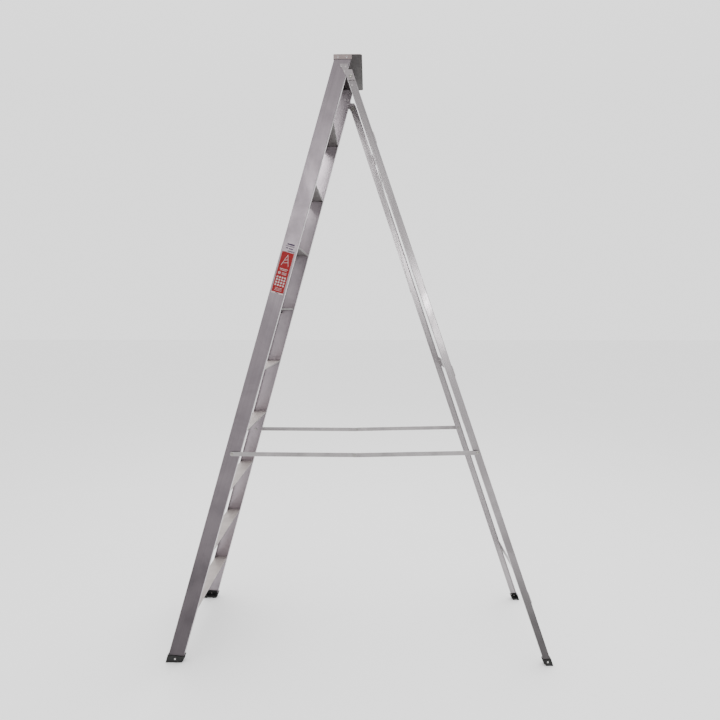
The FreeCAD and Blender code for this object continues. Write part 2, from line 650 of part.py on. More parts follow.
    # Stays
    front_half = stadium((front_y, STAY_FRONT_HEIGHT), (middle_y, middle_z), STAY_BAR_WIDTH, inner_bar_x)
    rear_half = stadium((rear_y, STAY_REAR_HEIGHT), (middle_y, middle_z), STAY_BAR_WIDTH, outer_bar_x)
    pin_hole = STAY_PIN_RADIUS + RUNNING_CLEARANCE
    middle_hole = cross_hole(STAY_MIDDLE_RADIUS, middle_y, middle_z)
    front_half = front_half.cut(cross_hole(pin_hole, front_y, STAY_FRONT_HEIGHT)).cut(middle_hole)
    rear_half = rear_half.cut(cross_hole(pin_hole, rear_y, STAY_REAR_HEIGHT)).cut(middle_hole)
    shank = [(0.0, -STAY_BAR_WALL), (STAY_MIDDLE_RADIUS, -STAY_BAR_WALL), (STAY_MIDDLE_RADIUS, 0.0)]
    inner_place = Vector(inner_bar_x, middle_y, middle_z)
    outer_place = Vector(outer_bar_x + STAY_BAR_WALL, middle_y, middle_z)
    inner_rivet = turned(shank + dome(STAY_MIDDLE_HEAD, 1.8), inner_place, X_AXIS * -1)
    outer_rivet = turned(shank + dome(STAY_MIDDLE_HEAD, 2.2), outer_place, X_AXIS)
    front_pin = stay_pin(stay_web, inner_bar_x, front_y, STAY_FRONT_HEIGHT).cut(stile_right)
    rear_pin = stay_pin(stay_web - LEG_INSET, outer_bar_x, rear_y, STAY_REAR_HEIGHT).cut(leg)
    for side, place in (("right", lambda shape: shape), ("left", mirrored)):
        save("stay_front_" + side, place(front_half))
        save("stay_rear_" + side, place(rear_half))
        save("stay_middle_rivet_" + side, place(outer_rivet))
        save("stay_middle_tail_" + side, place(inner_rivet))
    save("stay_front_pins", both_sides([front_pin]))
    save("stay_rear_pins", both_sides([rear_pin]))
    print("stay pivots: front y %.3f  middle y %.3f z %.3f" % (front_y, middle_y, middle_z))
    print("stay pivots: rear y %.3f" % rear_y)


build()
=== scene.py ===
"""Looks of a single-sided folding stepladder: aluminium finishes, rubber shoes, sticker print and studio.

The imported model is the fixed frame. Everything here is in metres, +Z up, with the climbing side at -Y.
"""
import logging
import math
from dataclasses import dataclass, field
from enum import Enum
from typing import Iterable, Sequence

import bpy
from mathutils import Matrix, Vector


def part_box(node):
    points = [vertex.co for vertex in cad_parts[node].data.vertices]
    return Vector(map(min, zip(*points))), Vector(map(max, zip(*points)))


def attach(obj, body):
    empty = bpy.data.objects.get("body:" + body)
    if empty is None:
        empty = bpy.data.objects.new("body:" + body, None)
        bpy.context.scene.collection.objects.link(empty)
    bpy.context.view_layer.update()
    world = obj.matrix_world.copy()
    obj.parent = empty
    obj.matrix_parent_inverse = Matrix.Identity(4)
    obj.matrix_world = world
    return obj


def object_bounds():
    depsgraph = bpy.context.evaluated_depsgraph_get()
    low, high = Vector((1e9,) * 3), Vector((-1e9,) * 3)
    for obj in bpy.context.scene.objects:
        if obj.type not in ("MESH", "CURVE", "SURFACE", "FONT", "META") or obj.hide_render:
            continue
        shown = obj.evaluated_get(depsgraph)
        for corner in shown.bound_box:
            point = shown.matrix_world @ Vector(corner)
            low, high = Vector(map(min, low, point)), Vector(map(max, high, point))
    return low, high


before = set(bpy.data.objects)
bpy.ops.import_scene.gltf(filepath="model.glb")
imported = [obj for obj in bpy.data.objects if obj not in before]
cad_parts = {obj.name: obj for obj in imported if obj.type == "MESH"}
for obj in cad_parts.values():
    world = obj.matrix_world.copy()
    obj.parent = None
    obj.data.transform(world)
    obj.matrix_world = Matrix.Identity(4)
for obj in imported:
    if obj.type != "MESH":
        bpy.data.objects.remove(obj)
CAD_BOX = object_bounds()

log = logging.getLogger("stepladder")
logging.basicConfig(level=logging.INFO, format="%(message)s")

MILLIMETRE = 0.001
TREAD_COUNT = 9
Colour = tuple[float, float, float, float]
Point = tuple[float, float, float]


class Side(Enum):
    """A side of the ladder and the sign of its X."""

    RIGHT = 1
    LEFT = -1

    @property
    def word(self) -> str:
        """The word that node names use for this side."""
        return self.name.lower()


class Body(Enum):
    """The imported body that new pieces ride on."""

    FRONT = "front_frame"


# Sockets of a mix node, by number, because its sockets share their names
MIX_SHARE = 0
VALUE_A, VALUE_B, VALUE_RESULT = 2, 3, 0
COLOUR_A, COLOUR_B, COLOUR_RESULT = 6, 7, 2


def linear_colour(code: str) -> Colour:
    """Turn an sRGB hex code into a linear colour.

    Args:
        code: Six hex digits, with or without a leading hash.

    Returns:
        Linear red, green, blue and an alpha of 1.
    """
    digits = code.lstrip("#")
    channels = [int(digits[place:place + 2], 16) / 255 for place in (0, 2, 4)]
    linear = [c / 12.92 if c <= 0.04045 else ((c + 0.055) / 1.055) ** 2.4 for c in channels]
    return (linear[0], linear[1], linear[2], 1.0)


def add_node(
    tree: bpy.types.NodeTree,
    kind: str,
    settings: dict[str, object] | None = None,
    values: dict[str | int, object] | None = None,
    links: dict[str | int, bpy.types.NodeSocket] | None = None,
) -> bpy.types.Node:
    """Add a shader node with its settings, input values and incoming links.

    Args:
        tree: The node tree to add to.
        kind: The node's type name.
        settings: Node properties by name.
        values: Unlinked input values by socket name or number.
        links: Sockets that feed inputs, by socket name or number.

    Returns:
        The new node.
    """
    node = tree.nodes.new(kind)
    for name, value in (settings or {}).items():
        setattr(node, name, value)
    for socket, value in (values or {}).items():
        node.inputs[socket].default_value = value
    for socket, source in (links or {}).items():
        tree.links.new(source, node.inputs[socket])
    return node


def colour_ramp(
    tree: bpy.types.NodeTree, source: bpy.types.NodeSocket, stops: Sequence[tuple[float, Colour]]
) -> bpy.types.NodeSocket:
    """Map a value through a colour ramp.

    Args:
        tree: The node tree to add to.
        source: The value to map.
        stops: Positions and colours, in rising order.

    Returns:
        The ramp's colour output.
    """
    ramp = add_node(tree, "ShaderNodeValToRGB", links={"Fac": source})
    elements = ramp.color_ramp.elements
    while len(elements) < len(stops):
        elements.new(0.5)
    for element, (position, colour) in zip(elements, stops):
        element.position = position
        element.color = colour
    return ramp.outputs["Color"]


def multiply(
    tree: bpy.types.NodeTree, colour: bpy.types.NodeSocket, share: bpy.types.NodeSocket
) -> bpy.types.NodeSocket:
    """Darken a colour by a share.

    Args:
        tree: The node tree to add to.
        colour: The colour.
        share: The value that it is multiplied by.

    Returns:
        The darker colour.
    """
    product = add_node(
        tree, "ShaderNodeMix", {"data_type": "RGBA", "blend_type": "MULTIPLY"},
        {MIX_SHARE: 1.0}, {COLOUR_A: colour, COLOUR_B: share},
    )
    return product.outputs[COLOUR_RESULT]


def blend(
    tree: bpy.types.NodeTree, share: bpy.types.NodeSocket, low: float, high: float | bpy.types.NodeSocket
) -> bpy.types.NodeSocket:
    """Blend from one value to another.

    Args:
        tree: The node tree to add to.
        share: How far the blend has gone, from 0 to 1.
        low: The value at a share of 0.
        high: The value at a share of 1, or a socket that gives it.

    Returns:
        The blended value.
    """
    values: dict[str | int, object] = {VALUE_A: low}
    links: dict[str | int, bpy.types.NodeSocket] = {MIX_SHARE: share}
    if isinstance(high, float):
        values[VALUE_B] = high
    else:
        links[VALUE_B] = high
    return add_node(tree, "ShaderNodeMix", {"data_type": "FLOAT"}, values, links).outputs[VALUE_RESULT]


def grey(value: float) -> Colour:
    """Make a neutral linear colour.

    Args:
        value: Its red, green and blue.

    Returns:
        The colour, with an alpha of 1.
    """
    return (value, value, value, 1.0)


@dataclass(frozen=True)
class ExtrudedAluminium:
    """Mill-finish aluminium as it leaves the extrusion press or the rolling mill.

    The eye sees fine die lines that run along the member, a soft satin sheen that changes slowly
    along its length, and faint dull smears from handling. Painted shade darkens a long member's
    outer face towards the floor, and painted light makes its inner faces paler. Painted shade
    darkens the faces that look down.
    """

    name: str
    colour: str
    smear_colour: str
    roughness: float = 0.34
    along: Point = (0.0, 0.0, 1.0)
    # Real die lines are about 0.2 mm apart. They are drawn 1.6 mm apart, so that they show.
    line_spacing_mm: float = 1.6
    line_length_mm: float = 420.0
    line_depth_mm: float = 0.02
    line_shade: float = 0.86
    line_roughness: float = 0.06
    smear_size_mm: float = 160.0
    smear_roughness: float = 0.1
    # Painted shade on the outer face: the height it reaches from the floor, and the share of colour left at
    # the floor
    painted_shade_top_mm: float = 0.0
    painted_shade_floor_share: float = 0.5
    outer_side: float = 1.0
    inner_roughness: float = 0.34
    # Painted light: how much paler the inner faces are drawn
    painted_inner_light_gain: float = 1.0
    inner_metallic: float = 1.0
    # Painted shade: the share of colour left on faces that look down
    painted_underside_shade_share: float = 1.0
    metallic: float = 1.0

    def build(self) -> bpy.types.Material:
        """Make the material.

        Returns:
            The finished material.
        """
        material = bpy.data.materials.new(self.name)
        material.use_nodes = True
        tree = material.node_tree
        tree.nodes.clear()
        place = add_node(tree, "ShaderNodeTexCoord")
        lines = self.die_lines(tree, place.outputs["Object"])
        smears = self.smears(tree, place.outputs["Object"])
        base = colour_ramp(
            tree, smears, [(0.3, linear_colour(self.smear_colour)), (0.62, linear_colour(self.colour))]
        )
        shade = colour_ramp(tree, lines, [(0.3, grey(self.line_shade)), (0.7, grey(1.0))])
        colour = multiply(tree, base, shade)
        roughness = self.surface_roughness(tree, lines, smears)
        relief = add_node(
            tree, "ShaderNodeBump",
            values={"Strength": 0.35, "Distance": self.line_depth_mm * MILLIMETRE},
            links={"Height": lines},
        )
        surface = add_node(
            tree, "ShaderNodeBsdfPrincipled", values={"Metallic": self.metallic},
            links={"Normal": relief.outputs["Normal"]},
        )
        # Painted shade darkens the outer face towards the floor, and painted light makes the inner faces
        # paler
        if self.painted_shade_top_mm > 0:
            outside = self.outer_face(tree, place.outputs["Normal"])
            colour = self.paint_low_shade_and_inner_light(tree, place.outputs["Object"], outside, colour)
            roughness = blend(tree, outside, self.inner_roughness, roughness)
            metallic = blend(tree, outside, self.inner_metallic, self.metallic)
            tree.links.new(metallic, surface.inputs["Metallic"])
        # Painted shade darkens the faces that look down
        if self.painted_underside_shade_share < 1:
            colour = self.paint_underside_shade(tree, place.outputs["Normal"], colour)
        tree.links.new(colour, surface.inputs["Base Color"])
        tree.links.new(roughness, surface.inputs["Roughness"])
        add_node(tree, "ShaderNodeOutputMaterial", links={"Surface": surface.outputs["BSDF"]})
        return material

    def die_lines(self, tree: bpy.types.NodeTree, place: bpy.types.NodeSocket) -> bpy.types.NodeSocket:
        """Stretch a noise along the member.

        Args:
            tree: The node tree.
            place: Object-space place.

        Returns:
            The strength of the die lines.
        """
        turn = Vector(self.along).normalized().rotation_difference(Vector((0.0, 0.0, 1.0))).to_euler()
        aligned = add_node(tree, "ShaderNodeMapping", values={"Rotation": turn}, links={"Vector": place})
        across = 1 / (self.line_spacing_mm * MILLIMETRE)
        lengthwise = 1 / (self.line_length_mm * MILLIMETRE)
        stretched = add_node(
            tree, "ShaderNodeMapping", values={"Scale": (across, across, lengthwise)},
            links={"Vector": aligned.outputs["Vector"]},
        )
        lines = add_node(
            tree, "ShaderNodeTexNoise", values={"Scale": 1.0, "Detail": 3.0, "Roughness": 0.55},
            links={"Vector": stretched.outputs["Vector"]},
        )
        return lines.outputs["Fac"]

    def smears(self, tree: bpy.types.NodeTree, place: bpy.types.NodeSocket) -> bpy.types.NodeSocket:
        """Spread soft patches over the member.

        Args:
            tree: The node tree.
            place: Object-space place.

        Returns:
            How clean the surface is.
        """
        patches = add_node(
            tree, "ShaderNodeTexNoise",
            values={
                "Scale": 1 / (self.smear_size_mm * MILLIMETRE), "Detail": 4.0, "Roughness": 0.6,
                "Distortion": 0.4,
            },
            links={"Vector": place},
        )
        return patches.outputs["Fac"]

    def surface_roughness(
        self, tree: bpy.types.NodeTree, lines: bpy.types.NodeSocket, smears: bpy.types.NodeSocket
    ) -> bpy.types.NodeSocket:
        """Make the smears duller and let the die lines vary the sheen.

        Args:
            tree: The node tree.
            lines: The strength of the die lines.
            smears: How clean the surface is.

        Returns:
            The roughness.
        """
        dull = add_node(
            tree, "ShaderNodeMapRange",
            values={
                "From Min": 0.3, "From Max": 0.7,
                "To Min": self.roughness + self.smear_roughness, "To Max": self.roughness,
            },
            links={"Value": smears},
        )
        streak = add_node(
            tree, "ShaderNodeMapRange",
            values={
                "From Min": 0.25, "From Max": 0.75,
                "To Min": -self.line_roughness, "To Max": self.line_roughness,
            },
            links={"Value": lines},
        )
        total = add_node(
            tree, "ShaderNodeMath", {"operation": "ADD"},
            links={0: dull.outputs["Result"], 1: streak.outputs["Result"]},
        )
        return total.outputs["Value"]

    def outer_face(self, tree: bpy.types.NodeTree, normal: bpy.types.NodeSocket) -> bpy.types.NodeSocket:
        """Tell the member's outer face from its other faces.

        Args:
            tree: The node tree.
            normal: Object-space normal.

        Returns:
            1 on the outer face and 0 on the others.
        """
        facing = add_node(tree, "ShaderNodeSeparateXYZ", links={"Vector": normal})
        outside = add_node(
            tree, "ShaderNodeMapRange",
            values={"From Min": 0.2 * self.outer_side, "From Max": 0.6 * self.outer_side},
            links={"Value": facing.outputs["X"]},
        )
        return outside.outputs["Result"]

    def paint_low_shade_and_inner_light(
        self,
        tree: bpy.types.NodeTree,
        place: bpy.types.NodeSocket,
        outside: bpy.types.NodeSocket,
        colour: bpy.types.NodeSocket,
    ) -> bpy.types.NodeSocket:
        """Paint shade on the outer face, darker towards the floor, and paint light on the inner faces, which
        makes them paler.

        Args:
            tree: The node tree.
            place: Object-space place.
            outside: 1 on the outer face and 0 on the others.
            colour: The clean colour.

        Returns:
            The colour of both kinds of face.
        """
        height = add_node(tree, "ShaderNodeSeparateXYZ", links={"Vector": place})
        share = add_node(
            tree, "ShaderNodeMapRange", {"interpolation_type": "SMOOTHSTEP"},
            values={
                "From Min": 0.0, "From Max": self.painted_shade_top_mm * MILLIMETRE,
                "To Min": self.painted_shade_floor_share, "To Max": 1.0,
            },
            links={"Value": height.outputs["Z"]},
        )
        # Painted shade, darker towards the floor
        low_shaded = multiply(tree, colour, share.outputs["Result"])
        # Painted light on the inner faces
        pale = add_node(
            tree, "ShaderNodeMix", {"data_type": "RGBA", "blend_type": "MULTIPLY"},
            {MIX_SHARE: 1.0, COLOUR_B: grey(self.painted_inner_light_gain)}, {COLOUR_A: colour},
        )
        mixed = add_node(
            tree, "ShaderNodeMix", {"data_type": "RGBA"},
            links={MIX_SHARE: outside, COLOUR_A: pale.outputs[COLOUR_RESULT], COLOUR_B: low_shaded},
        )
        return mixed.outputs[COLOUR_RESULT]

    def paint_underside_shade(
        self, tree: bpy.types.NodeTree, normal: bpy.types.NodeSocket, colour: bpy.types.NodeSocket
    ) -> bpy.types.NodeSocket:
        """Paint shade on the faces that look down, which darkens them.

        Args:
            tree: The node tree.
            normal: Object-space normal.
            colour: The colour so far.

        Returns:
            The colour with its painted underside shade.
        """
        parts = add_node(tree, "ShaderNodeSeparateXYZ", links={"Vector": normal})
        share = add_node(
            tree, "ShaderNodeMapRange",
            values={"From Min": -0.26, "From Max": -0.15, "To Min": self.painted_underside_shade_share, "To Max": 1.0},
            links={"Value": parts.outputs["Z"]},
        )
        return multiply(tree, colour, share.outputs["Result"])


@dataclass(frozen=True)
class PrintedFilm:
    """Ink on a thin satin film.

    The eye sees one flat colour under a soft sheen, faintly mottled where the film has weathered.
    """

    name: str
    colour: str
    roughness: float = 0.55
    specular: float = 0.2
    mottle_mm: float = 9.0

    def build(self) -> bpy.types.Material:
        """Make the material.

        Returns:
            The finished material.
        """
        material = bpy.data.materials.new(self.name)
        material.use_nodes = True
        tree = material.node_tree
        tree.nodes.clear()
        place = add_node(tree, "ShaderNodeTexCoord")
        mottle = add_node(
            tree, "ShaderNodeTexNoise", values={"Scale": 1 / (self.mottle_mm * MILLIMETRE), "Detail": 4.0},
            links={"Vector": place.outputs["Object"]},
        )
        ink = linear_colour(self.colour)
        faded = tuple(0.86 * channel + 0.015 for channel in ink[:3]) + (1.0,)
        base = colour_ramp(tree, mottle.outputs["Fac"], [(0.35, ink), (0.75, faded)])
        surface = add_node(
            tree, "ShaderNodeBsdfPrincipled",
            values={"Roughness": self.roughness, "Specular IOR Level": self.specular},
            links={"Base Color": base},
        )
        add_node(tree, "ShaderNodeOutputMaterial", links={"Surface": surface.outputs["BSDF"]})
        return material


@dataclass(frozen=True)
class MouldedSurface:
    """Moulded or cast stuff with a fine grain and a slow change of tone, such as rubber or nylon.

    The eye sees a matt skin, slightly lighter where it is scuffed or dusty.
    """

    name: str
    colour: str
    scuff_colour: str
    roughness: float
    grain_mm: float = 1.2
    scuff_mm: float = 22.0
    grain_depth_mm: float = 0.15
    scuff_start: float = 0.55
    scuff_roughness: float = 0.06
    specular: float = 0.5
    metallic: float = 0.0

    def build(self) -> bpy.types.Material:
        """Make the material.

        Returns:
            The finished material.
        """
        material = bpy.data.materials.new(self.name)
        material.use_nodes = True
        tree = material.node_tree
        tree.nodes.clear()
        place = add_node(tree, "ShaderNodeTexCoord")
        grain = add_node(
            tree, "ShaderNodeTexNoise", values={"Scale": 1 / (self.grain_mm * MILLIMETRE), "Detail": 2.0},
            links={"Vector": place.outputs["Object"]},
        )
        scuffs = add_node(
            tree, "ShaderNodeTexNoise", values={"Scale": 1 / (self.scuff_mm * MILLIMETRE), "Detail": 5.0},
            links={"Vector": place.outputs["Object"]},
        )
        base = colour_ramp(
            tree, scuffs.outputs["Fac"],
            [
                (self.scuff_start, linear_colour(self.colour)),
                (self.scuff_start + 0.25, linear_colour(self.scuff_colour)),
            ],
        )
        roughness = add_node(
            tree, "ShaderNodeMapRange",
            values={
                "From Min": 0.3, "From Max": 0.7,
                "To Min": self.roughness - self.scuff_roughness,
                "To Max": self.roughness + self.scuff_roughness,
            },
            links={"Value": scuffs.outputs["Fac"]},
        )
        relief = add_node(
            tree, "ShaderNodeBump",
            values={"Strength": 0.5, "Distance": self.grain_depth_mm * MILLIMETRE},
            links={"Height": grain.outputs["Fac"]},
        )
        surface = add_node(
            tree, "ShaderNodeBsdfPrincipled",
            values={"Metallic": self.metallic, "Specular IOR Level": self.specular},
            links={
                "Base Color": base,
                "Roughness": roughness.outputs["Result"],
                "Normal": relief.outputs["Normal"],
            },
        )
        add_node(tree, "ShaderNodeOutputMaterial", links={"Surface": surface.outputs["BSDF"]})
        return material


@dataclass(frozen=True)
class Geometry:
    """How far the stiles and the rear legs lean, as shifts per unit of height."""

    taper: float = 0.0408
    stile_lean: float = math.tan(math.radians(15.95))
    leg_lean: float = -math.tan(math.radians(18.93))

    def stile_along(self, side: Side) -> Vector:
        """Find the direction up a stile.

        Args:
            side: The stile's side.

        Returns:
            A unit vector.
        """
        return Vector((-self.taper * side.value, self.stile_lean, 1.0)).normalized()

    def leg_along(self, side: Side) -> Vector:
        """Find the direction up a rear leg.

        Args:
            side: The leg's side.

        Returns:
            A unit vector.
        """
        return Vector((-self.taper * side.value, self.leg_lean, 1.0)).normalized()

    def web_outward(self, side: Side) -> Vector:
        """Find the outward direction of a stile's and a leg's web.

        Args:
            side: Their side.

        Returns:
            A unit vector.
        """
        return Vector((side.value, 0.0, self.taper)).normalized()


def dress(nodes: Iterable[str], material: bpy.types.Material) -> None:
    """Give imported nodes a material.

    Args:
        nodes: Node names.
        material: The finish for every slot of each node.
    """
    for name in nodes:
        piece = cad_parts[name]
        if not piece.material_slots:
            piece.data.materials.append(material)
        for place in piece.material_slots:
            place.material = material
        log.info("dressed %s in %s", name, material.name)


@dataclass(frozen=True)
class Metalwork:
    """The aluminium members, dressed by the direction in which each was extruded."""

    geometry: Geometry
    crosswise: Point = (1.0, 0.0, 0.0)
    lengthwise: Point = (0.0, 1.0, 0.0)

    def dress_all(self) -> None:
        """Dress every aluminium node."""
        self.dress_members()
        self.dress_treads_and_cap()
        self.dress_flat_stock()

    def dress_members(self) -> None:
        """Dress the stiles and the rear legs, with painted shade low on their outer faces and painted light
        on the stiles' inner faces.
        """
        for side in Side:
            stile = ExtrudedAluminium(
                f"mill_aluminium_stile_{side.word}", "#898186", "#787176",
                # Painted shade low on the outer faces, painted light on the inner faces
                along=tuple(self.geometry.stile_along(side)), painted_shade_top_mm=1500.0, painted_shade_floor_share=0.36,
                outer_side=side.value, inner_roughness=0.24, painted_inner_light_gain=1.45, inner_metallic=0.6,
            )
            dress([f"stile_{side.word}"], stile.build())
            leg = ExtrudedAluminium(
                f"mill_aluminium_leg_{side.word}", "#A09B9D", "#918C8E", roughness=0.22,
                # Painted shade low on the outer faces
                along=tuple(self.geometry.leg_along(side)), painted_shade_top_mm=950.0, painted_shade_floor_share=0.22,
                outer_side=side.value, inner_roughness=0.26, line_depth_mm=0.008,
            )
            dress([f"rear_leg_{side.word}"], leg.build())

    def dress_treads_and_cap(self) -> None:
        """Dress the nine treads and the top cap, with painted shade on their undersides."""
        tread = ExtrudedAluminium(
            "mill_aluminium_tread", "#B9B0AD", "#A8A09D", roughness=0.4, along=self.crosswise,
            # Painted shade on the undersides
            smear_size_mm=90.0, painted_underside_shade_share=0.16, metallic=0.5,
        ).build()
        dress([f"tread_{number}" for number in range(1, TREAD_COUNT + 1)], tread)
        cap = ExtrudedAluminium(
            "pressed_aluminium_cap", "#9B8E8D", "#897D7C", roughness=0.38, along=self.crosswise,
            # Painted shade on the undersides
            smear_size_mm=70.0, painted_underside_shade_share=0.1,
        ).build()
        dress(["top_cap"], cap)

    def dress_flat_stock(self) -> None:
        """Dress the cross bars, the strap, the stays and the hinge brackets."""
        bar = ExtrudedAluminium(
            "rolled_aluminium_bar", "#ABA7A8", "#9A9697", roughness=0.33, along=self.crosswise,
            smear_size_mm=80.0,
        ).build()
        dress(["rear_bar_bottom", "rear_bar_middle", "rear_bar_top", "diagonal_strap"], bar)
        stay = ExtrudedAluminium(
            "rolled_aluminium_stay", "#A29E9F", "#918D8E", roughness=0.3, along=self.lengthwise,
            smear_size_mm=80.0,
        ).build()
        dress([f"stay_{half}_{side.word}" for half in ("front", "rear") for side in Side], stay)
        plate = ExtrudedAluminium(
            "sheared_aluminium_plate", "#9D9799", "#8E888A", roughness=0.38, smear_size_mm=50.0,
            line_length_mm=90.0,
        ).build()
        dress([f"hinge_bracket_{side.word}" for side in Side], plate)


class Fittings:
    """Fasteners, bushes and shoes."""

    def dress_all(self) -> None:
        """Dress every small fitting."""
        rivet = MouldedSurface(
            "headed_aluminium_rivet", "#C4C2C0", "#A8A6A4", 0.32, grain_mm=0.6, scuff_mm=6.0,
            grain_depth_mm=0.02, metallic=1.0,
        ).build()
        dull_rivet = MouldedSurface(
            "dull_aluminium_rivet", "#A09B9C", "#8F8A8B", 0.4, grain_mm=0.6, scuff_mm=6.0,
            grain_depth_mm=0.02, metallic=1.0,
        ).build()
        dull = ["cap_rivets", "bracket_rivets", "leg_top_rivets"]
        pivot_names = ("stay_middle", "stay_front_pins", "stay_rear_pins")
        pivots = [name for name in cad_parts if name.startswith(pivot_names)]
        rivets = [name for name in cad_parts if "rivet" in name and name not in dull + pivots]
        dress(rivets, rivet)
        dress(dull, dull_rivet)
        zinc = MouldedSurface(
            "zinc_plated_steel", "#8E8C88", "#A39F94", 0.3, grain_mm=0.8, scuff_mm=5.0,
            grain_depth_mm=0.02, metallic=1.0,
        ).build()
        dress(["hinge_bolts", "hinge_washers", "hinge_nuts"] + pivots, zinc)
        nylon = MouldedSurface("moulded_nylon", "#DAD6CB", "#C9C4B6", 0.5).build()
        dress(["hinge_bushes"], nylon)
        rubber = MouldedSurface("moulded_black_rubber", "#141414", "#2C2B2A", 0.62, specular=0.35).build()
        dress([f"{end}_shoe_{side.word}" for end in ("front", "rear") for side in Side], rubber)


class Ink(Enum):
    """The sticker's inks, by material slot."""

    RED = 0
    WHITE = 1
    DARK = 2


@dataclass(frozen=True)
class Patch:
    """One printed rectangle: its left, lower, right and upper edge in millimetres, and its ink."""

    left: float
    low: float
    right: float
    high: float
    ink: Ink

    def holds(self, across: float, up: float) -> bool:
        """Say whether a point lies inside.

        Args:
            across: The point's distance from the sheet's left edge, in millimetres.
            up: Its distance from the lower edge, in millimetres.

        Returns:
            True for a point inside.
        """
        return self.left < across < self.right and self.low < up < self.high


@dataclass(frozen=True)
class Stroke:
    """One straight white stroke: where it starts and ends, across and up, and its width in millimetres."""

    start_across: float
    start_up: float
    end_across: float
    end_up: float
    width: float = 2.0

    @property
    def start(self) -> Vector:
        """The stroke's start."""
        return Vector((self.start_across, self.start_up, 0))

    @property
    def run(self) -> Vector:
        """The way from the stroke's start to its end."""
        return Vector((self.end_across - self.start_across, self.end_up - self.start_up, 0))

    @property
    def normal(self) -> Vector:
        """The direction across the stroke."""
        return Vector((-self.run.y, self.run.x, 0)).normalized()

    def holds(self, across: float, up: float) -> bool:
        """Say whether a point lies inside.

        Args:
            across: The point's distance from the sheet's left edge, in millimetres.
            up: Its distance from the lower edge, in millimetres.

        Returns:
            True for a point inside.
        """
        offset = Vector((across, up, 0)) - self.start
        beside = abs(offset.dot(self.normal)) < self.width / 2
        return beside and 0 < offset.dot(self.run.normalized()) < self.run.length


@dataclass
class FlatPrint:
    """A flat printed sheet on the right stile's web.

    It is cut along every edge of its patches and strokes, and each face takes the ink of the last
    one that holds it. Where nothing is printed, a sheet has its ground's ink, and one without a
    ground has no face.
    """

    name: str
    width_mm: float
    length_mm: float
    centre: Vector
    along: Vector
    outward: Vector
    patches: list[Patch]
    strokes: list[Stroke] = field(default_factory=list)
    ground: Ink | None = None

    def build(self, inks: Sequence[bpy.types.Material]) -> bpy.types.Object:
        """Make the sheet.

        Args:
            inks: A material for each ink, in the order of Ink.

        Returns:
            The sheet, riding on the front frame.
        """
        bpy.ops.object.select_all(action="DESELECT")
        bpy.ops.mesh.primitive_plane_add(size=1, location=(0, 0, 0))
        sheet = bpy.context.object
        sheet.name = self.name
        for ink in inks:
            sheet.data.materials.append(ink)
        bpy.ops.object.mode_set(mode="EDIT")
        bpy.ops.mesh.select_all(action="SELECT")
        bpy.ops.transform.resize(value=(self.width_mm * MILLIMETRE, self.length_mm * MILLIMETRE, 1))
        for across in sorted({edge for patch in self.patches for edge in (patch.left, patch.right)}):
            self.cut(Vector((across, self.length_mm / 2, 0)), Vector((1, 0, 0)))
        for up in sorted({edge for patch in self.patches for edge in (patch.low, patch.high)}):
            self.cut(Vector((self.width_mm / 2, up, 0)), Vector((0, 1, 0)))
        for stroke in self.strokes:
            for side in (-1, 1):
                self.cut(stroke.start + stroke.normal * (side * stroke.width / 2), stroke.normal)
        bpy.ops.object.mode_set(mode="OBJECT")
        self.ink_faces(sheet)
        self.place(sheet)
        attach(sheet, Body.FRONT.value)
        return sheet

    def cut(self, point: Vector, normal: Vector) -> None:
        """Cut the whole sheet along one straight line.

        Args:
            point: A point of the line, across and up from the sheet's lower left corner, in millimetres.
            normal: The line's normal in the sheet.
        """
        middle = Vector((self.width_mm / 2, self.length_mm / 2, 0))
        bpy.ops.mesh.select_all(action="SELECT")
        bpy.ops.mesh.bisect(plane_co=(point - middle) * MILLIMETRE, plane_no=normal)

    def ink_faces(self, sheet: bpy.types.Object) -> None:
        """Give each face the ink of the patch or the stroke that holds its middle.

        Args:
            sheet: The cut sheet, flat about the origin.
        """
        unprinted = []
        for face in sheet.data.polygons:
            across = face.center.x / MILLIMETRE + self.width_mm / 2
            up = face.center.y / MILLIMETRE + self.length_mm / 2
            ink = self.ground
            for patch in self.patches:
                if patch.holds(across, up):
                    ink = patch.ink
            if any(stroke.holds(across, up) for stroke in self.strokes):
                ink = Ink.WHITE
            if ink is None:
                unprinted.append(face.index)
            else:
                face.material_index = ink.value
        self.remove_faces(sheet, unprinted)

    @staticmethod
    def remove_faces(sheet: bpy.types.Object, numbers: list[int]) -> None:
        """Take the unprinted faces out of a clear film.

        Args:
            sheet: The film.
            numbers: The faces' numbers.
        """
        if not numbers:
            return
        bpy.ops.object.mode_set(mode="EDIT")
        bpy.ops.mesh.select_mode(type="FACE")
        bpy.ops.mesh.select_all(action="DESELECT")
        bpy.ops.object.mode_set(mode="OBJECT")
        wanted = set(numbers)
        for face in sheet.data.polygons:
            face.select = face.index in wanted
        bpy.ops.object.mode_set(mode="EDIT")
        bpy.ops.mesh.delete(type="FACE")
        bpy.ops.object.mode_set(mode="OBJECT")

    def place(self, sheet: bpy.types.Object) -> None:
        """Lay the sheet on its centre, with its length along the stile and its face outwards.

        Args:
            sheet: The sheet, flat about the origin.
        """
        up = self.along.normalized()
        out = (self.outward - up * self.outward.dot(up)).normalized()
        across = up.cross(out)
        turn = Matrix((across, up, out)).transposed().to_4x4()
        sheet.data.transform(Matrix.Translation(self.centre) @ turn)


